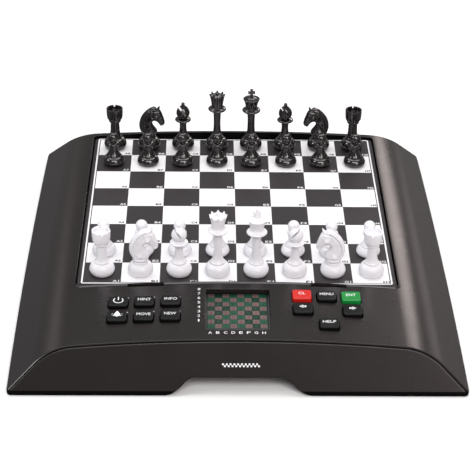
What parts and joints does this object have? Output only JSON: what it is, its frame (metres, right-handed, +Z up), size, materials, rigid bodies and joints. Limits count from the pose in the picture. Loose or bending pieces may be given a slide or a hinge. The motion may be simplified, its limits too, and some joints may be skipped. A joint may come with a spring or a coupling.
{
  "type": "electronic chess computer",
  "caption": "Table-top chess computer: a crowned housing with a sunken pressure-sensing board, a display, sprung keys on both sides of it, and a full set of lift-off pieces.",
  "frame": {"origin": "on the table, under the middle of the housing's footprint", "axes": "+Z up, +Y away from the player who sits at the keys, +X to that player's right"},
  "size_m": [0.2848, 0.306, 0.0749],
  "materials": {
    "housing": "satin, finely textured moulding",
    "base": "fine matt moulding",
    "board_print": "printed chequered sheet, satin",
    "sensor_film": "translucent film",
    "display_window": "clear glossy",
    "display": "dark green display glass",
    "circuit_board": "green solder mask",
    "silicone": "soft matt silicone",
    "key_black": "satin black cap with printed legend",
    "key_red": "satin red cap with printed legend",
    "key_green": "satin green cap with printed legend",
    "battery_jacket": "printed film jacket",
    "speaker": "pressed steel basket",
    "foot_rubber": "matt",
    "piece_white": "polished white moulding",
    "piece_black": "polished black moulding"
  },
  "bodies": {
    "housing": {"top_shell": "housing", "bottom_shell": "base", "board_panel": "board_print", "sensor_membrane": "sensor_film", "display_window": "display_window", "display_module": "display", "main_circuit_board": "circuit_board", "keypad_left": "silicone", "keypad_right": "silicone", "battery_cells": "battery_jacket", "speaker": "speaker", "foot_front_left": "foot_rubber", "foot_front_right": "foot_rubber", "foot_rear_left": "foot_rubber", "foot_rear_right": "foot_rubber"},
    "battery_door": {"battery_door": "base"},
    "key_power": {"key_power": "key_black"},
    "key_hint": {"key_hint": "key_black"},
    "key_info": {"key_info": "key_black"},
    "key_light": {"key_light": "key_black"},
    "key_move": {"key_move": "key_black"},
    "key_new": {"key_new": "key_black"},
    "key_clear": {"key_clear": "key_red"},
    "key_menu": {"key_menu": "key_black"},
    "key_enter": {"key_enter": "key_green"},
    "key_back": {"key_back": "key_black"},
    "key_forward": {"key_forward": "key_black"},
    "key_help": {"key_help": "key_black"},
    "white_rook_a1": {"white_rook_a1": "piece_white"},
    "white_pawn_a2": {"white_pawn_a2": "piece_white"},
    "black_pawn_a7": {"black_pawn_a7": "piece_black"},
    "black_rook_a8": {"black_rook_a8": "piece_black"},
    "white_knight_b1": {"white_knight_b1": "piece_white"},
    "white_pawn_b2": {"white_pawn_b2": "piece_white"},
    "black_pawn_b7": {"black_pawn_b7": "piece_black"},
    "black_knight_b8": {"black_knight_b8": "piece_black"},
    "white_bishop_c1": {"white_bishop_c1": "piece_white"},
    "white_pawn_c2": {"white_pawn_c2": "piece_white"},
    "black_pawn_c7": {"black_pawn_c7": "piece_black"},
    "black_bishop_c8": {"black_bishop_c8": "piece_black"},
    "white_queen_d1": {"white_queen_d1": "piece_white"},
    "white_pawn_d2": {"white_pawn_d2": "piece_white"},
    "black_pawn_d7": {"black_pawn_d7": "piece_black"},
    "black_queen_d8": {"black_queen_d8": "piece_black"},
    "white_king_e1": {"white_king_e1": "piece_white"},
    "white_pawn_e2": {"white_pawn_e2": "piece_white"},
    "black_pawn_e7": {"black_pawn_e7": "piece_black"},
    "black_king_e8": {"black_king_e8": "piece_black"},
    "white_bishop_f1": {"white_bishop_f1": "piece_white"},
    "white_pawn_f2": {"white_pawn_f2": "piece_white"},
    "black_pawn_f7": {"black_pawn_f7": "piece_black"},
    "black_bishop_f8": {"black_bishop_f8": "piece_black"},
    "white_knight_g1": {"white_knight_g1": "piece_white"},
    "white_pawn_g2": {"white_pawn_g2": "piece_white"},
    "black_pawn_g7": {"black_pawn_g7": "piece_black"},
    "black_knight_g8": {"black_knight_g8": "piece_black"},
    "white_rook_h1": {"white_rook_h1": "piece_white"},
    "white_pawn_h2": {"white_pawn_h2": "piece_white"},
    "black_pawn_h7": {"black_pawn_h7": "piece_black"},
    "black_rook_h8": {"black_rook_h8": "piece_black"}
  },
  "joints": [
    {"name": "battery_door_lift_off", "type": "slide", "parent": "housing", "child": "battery_door", "axis": [0, 0, -1], "range_m": [0, 0.02]},
    {"name": "key_power_press", "type": "slide", "parent": "housing", "child": "key_power", "axis": [0, 0, -1], "range_m": [0, 0.0012], "stiffness_N_per_m": 500, "springref_m": -0.001},
    {"name": "key_hint_press", "type": "slide", "parent": "housing", "child": "key_hint", "axis": [0, 0, -1], "range_m": [0, 0.0012], "stiffness_N_per_m": 500, "springref_m": -0.001},
    {"name": "key_info_press", "type": "slide", "parent": "housing", "child": "key_info", "axis": [0, 0, -1], "range_m": [0, 0.0012], "stiffness_N_per_m": 500, "springref_m": -0.001},
    {"name": "key_light_press", "type": "slide", "parent": "housing", "child": "key_light", "axis": [0, 0, -1], "range_m": [0, 0.0012], "stiffness_N_per_m": 500, "springref_m": -0.001},
    {"name": "key_move_press", "type": "slide", "parent": "housing", "child": "key_move", "axis": [0, 0, -1], "range_m": [0, 0.0012], "stiffness_N_per_m": 500, "springref_m": -0.001},
    {"name": "key_new_press", "type": "slide", "parent": "housing", "child": "key_new", "axis": [0, 0, -1], "range_m": [0, 0.0012], "stiffness_N_per_m": 500, "springref_m": -0.001},
    {"name": "key_clear_press", "type": "slide", "parent": "housing", "child": "key_clear", "axis": [0, 0, -1], "range_m": [0, 0.0012], "stiffness_N_per_m": 500, "springref_m": -0.001},
    {"name": "key_menu_press", "type": "slide", "parent": "housing", "child": "key_menu", "axis": [0, 0, -1], "range_m": [0, 0.0012], "stiffness_N_per_m": 500, "springref_m": -0.001},
    {"name": "key_enter_press", "type": "slide", "parent": "housing", "child": "key_enter", "axis": [0, 0, -1], "range_m": [0, 0.0012], "stiffness_N_per_m": 500, "springref_m": -0.001},
    {"name": "key_back_press", "type": "slide", "parent": "housing", "child": "key_back", "axis": [0, 0, -1], "range_m": [0, 0.0012], "stiffness_N_per_m": 500, "springref_m": -0.001},
    {"name": "key_forward_press", "type": "slide", "parent": "housing", "child": "key_forward", "axis": [0, 0, -1], "range_m": [0, 0.0012], "stiffness_N_per_m": 500, "springref_m": -0.001},
    {"name": "key_help_press", "type": "slide", "parent": "housing", "child": "key_help", "axis": [0, 0, -1], "range_m": [0, 0.0012], "stiffness_N_per_m": 500, "springref_m": -0.001},
    {"name": "white_rook_a1_lift", "type": "slide", "parent": "housing", "child": "white_rook_a1", "axis": [0, 0, 1], "range_m": [0, 0.08]},
    {"name": "white_pawn_a2_lift", "type": "slide", "parent": "housing", "child": "white_pawn_a2", "axis": [0, 0, 1], "range_m": [0, 0.08]},
    {"name": "black_pawn_a7_lift", "type": "slide", "parent": "housing", "child": "black_pawn_a7", "axis": [0, 0, 1], "range_m": [0, 0.08]},
    {"name": "black_rook_a8_lift", "type": "slide", "parent": "housing", "child": "black_rook_a8", "axis": [0, 0, 1], "range_m": [0, 0.08]},
    {"name": "white_knight_b1_lift", "type": "slide", "parent": "housing", "child": "white_knight_b1", "axis": [0, 0, 1], "range_m": [0, 0.08]},
    {"name": "white_pawn_b2_lift", "type": "slide", "parent": "housing", "child": "white_pawn_b2", "axis": [0, 0, 1], "range_m": [0, 0.08]},
    {"name": "black_pawn_b7_lift", "type": "slide", "parent": "housing", "child": "black_pawn_b7", "axis": [0, 0, 1], "range_m": [0, 0.08]},
    {"name": "black_knight_b8_lift", "type": "slide", "parent": "housing", "child": "black_knight_b8", "axis": [0, 0, 1], "range_m": [0, 0.08]},
    {"name": "white_bishop_c1_lift", "type": "slide", "parent": "housing", "child": "white_bishop_c1", "axis": [0, 0, 1], "range_m": [0, 0.08]},
    {"name": "white_pawn_c2_lift", "type": "slide", "parent": "housing", "child": "white_pawn_c2", "axis": [0, 0, 1], "range_m": [0, 0.08]},
    {"name": "black_pawn_c7_lift", "type": "slide", "parent": "housing", "child": "black_pawn_c7", "axis": [0, 0, 1], "range_m": [0, 0.08]},
    {"name": "black_bishop_c8_lift", "type": "slide", "parent": "housing", "child": "black_bishop_c8", "axis": [0, 0, 1], "range_m": [0, 0.08]},
    {"name": "white_queen_d1_lift", "type": "slide", "parent": "housing", "child": "white_queen_d1", "axis": [0, 0, 1], "range_m": [0, 0.08]},
    {"name": "white_pawn_d2_lift", "type": "slide", "parent": "housing", "child": "white_pawn_d2", "axis": [0, 0, 1], "range_m": [0, 0.08]},
    {"name": "black_pawn_d7_lift", "type": "slide", "parent": "housing", "child": "black_pawn_d7", "axis": [0, 0, 1], "range_m": [0, 0.08]},
    {"name": "black_queen_d8_lift", "type": "slide", "parent": "housing", "child": "black_queen_d8", "axis": [0, 0, 1], "range_m": [0, 0.08]},
    {"name": "white_king_e1_lift", "type": "slide", "parent": "housing", "child": "white_king_e1", "axis": [0, 0, 1], "range_m": [0, 0.08]},
    {"name": "white_pawn_e2_lift", "type": "slide", "parent": "housing", "child": "white_pawn_e2", "axis": [0, 0, 1], "range_m": [0, 0.08]},
    {"name": "black_pawn_e7_lift", "type": "slide", "parent": "housing", "child": "black_pawn_e7", "axis": [0, 0, 1], "range_m": [0, 0.08]},
    {"name": "black_king_e8_lift", "type": "slide", "parent": "housing", "child": "black_king_e8", "axis": [0, 0, 1], "range_m": [0, 0.08]},
    {"name": "white_bishop_f1_lift", "type": "slide", "parent": "housing", "child": "white_bishop_f1", "axis": [0, 0, 1], "range_m": [0, 0.08]},
    {"name": "white_pawn_f2_lift", "type": "slide", "parent": "housing", "child": "white_pawn_f2", "axis": [0, 0, 1], "range_m": [0, 0.08]},
    {"name": "black_pawn_f7_lift", "type": "slide", "parent": "housing", "child": "black_pawn_f7", "axis": [0, 0, 1], "range_m": [0, 0.08]},
    {"name": "black_bishop_f8_lift", "type": "slide", "parent": "housing", "child": "black_bishop_f8", "axis": [0, 0, 1], "range_m": [0, 0.08]},
    {"name": "white_knight_g1_lift", "type": "slide", "parent": "housing", "child": "white_knight_g1", "axis": [0, 0, 1], "range_m": [0, 0.08]},
    {"name": "white_pawn_g2_lift", "type": "slide", "parent": "housing", "child": "white_pawn_g2", "axis": [0, 0, 1], "range_m": [0, 0.08]},
    {"name": "black_pawn_g7_lift", "type": "slide", "parent": "housing", "child": "black_pawn_g7", "axis": [0, 0, 1], "range_m": [0, 0.08]},
    {"name": "black_knight_g8_lift", "type": "slide", "parent": "housing", "child": "black_knight_g8", "axis": [0, 0, 1], "range_m": [0, 0.08]},
    {"name": "white_rook_h1_lift", "type": "slide", "parent": "housing", "child": "white_rook_h1", "axis": [0, 0, 1], "range_m": [0, 0.08]},
    {"name": "white_pawn_h2_lift", "type": "slide", "parent": "housing", "child": "white_pawn_h2", "axis": [0, 0, 1], "range_m": [0, 0.08]},
    {"name": "black_pawn_h7_lift", "type": "slide", "parent": "housing", "child": "black_pawn_h7", "axis": [0, 0, 1], "range_m": [0, 0.08]},
    {"name": "black_rook_h8_lift", "type": "slide", "parent": "housing", "child": "black_rook_h8", "axis": [0, 0, 1], "range_m": [0, 0.08]}
  ]
}
